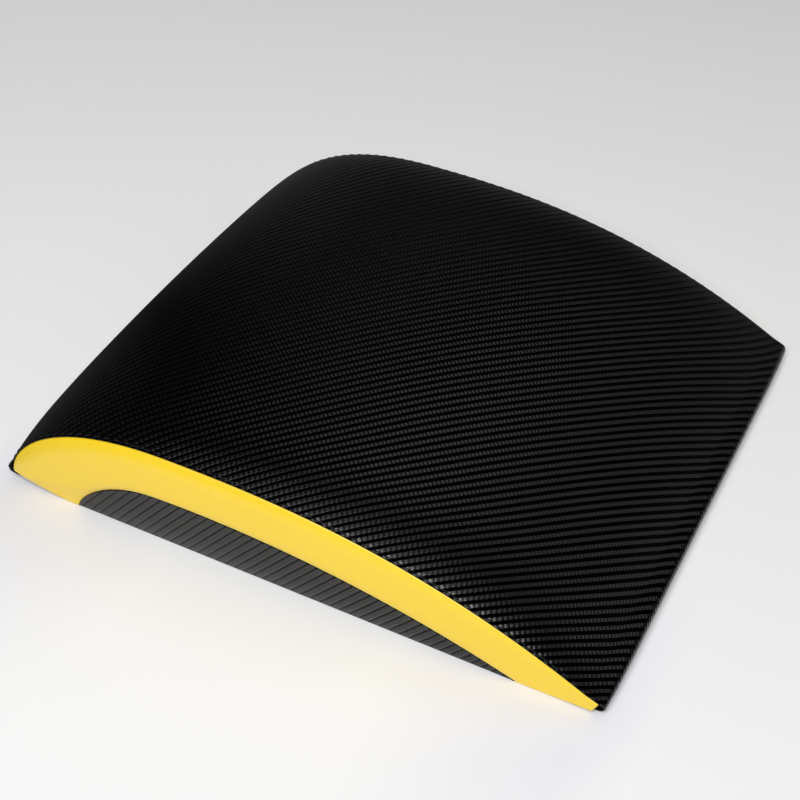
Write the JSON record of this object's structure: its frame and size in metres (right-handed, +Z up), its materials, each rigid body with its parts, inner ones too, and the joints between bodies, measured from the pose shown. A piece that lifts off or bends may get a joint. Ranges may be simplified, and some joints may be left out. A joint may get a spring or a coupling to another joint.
{
  "type": "ab mat",
  "caption": "Ab mat for sit-ups: a foam wedge with a rounded thick end, in a black twill-embossed vinyl cover with yellow side bands, zipped shut across its underside",
  "frame": {"origin": "middle of the mat's plan, on the floor it lies on", "axes": "+X from the thick rounded end to the thin end, +Y across to the left side band, +Z up"},
  "size_m": [0.3606, 0.3082, 0.077],
  "materials": {
    "black_twill_vinyl": "satin vinyl, twill embossed",
    "yellow_vinyl": "smooth satin vinyl",
    "soft_foam": "open-cell foam",
    "firm_foam": "rebonded foam",
    "base_cloth": "plain woven, coated",
    "zip_tape": "woven tape",
    "zip_coil": "nylon coil",
    "zip_metal": "dark lacquered alloy",
    "thread": "polyester thread"
  },
  "bodies": {
    "mat": {"top_panel": "black_twill_vinyl", "side_band_left": "yellow_vinyl", "side_band_right": "yellow_vinyl", "side_insert_left": "black_twill_vinyl", "side_insert_right": "black_twill_vinyl", "comfort_layer": "soft_foam", "foam_core": "firm_foam", "base_panel_front": "base_cloth", "base_panel_rear": "base_cloth", "zip_tape_front": "zip_tape", "zip_tape_rear": "zip_tape", "zip_coil_front": "zip_coil", "zip_coil_rear": "zip_coil", "zip_top_stop_front": "zip_metal", "zip_top_stop_rear": "zip_metal", "zip_bottom_stop": "zip_metal", "topstitch_left": "thread", "topstitch_right": "thread", "zip_stitch_front": "thread", "zip_stitch_rear": "thread"},
    "slider": {"zip_slider": "zip_metal"},
    "pull": {"zip_pull": "zip_metal"}
  },
  "joints": [
    {"name": "zip_slide", "type": "slide", "parent": "mat", "child": "slider", "axis": [0, 1, 0], "range_m": [0, 0.2]},
    {"name": "pull_hinge", "type": "hinge", "parent": "slider", "child": "pull", "pos_m": [-0.09892, -0.101, 0.0056], "axis": [-1, 0, 0], "range_deg": [0, 178]}
  ]
}
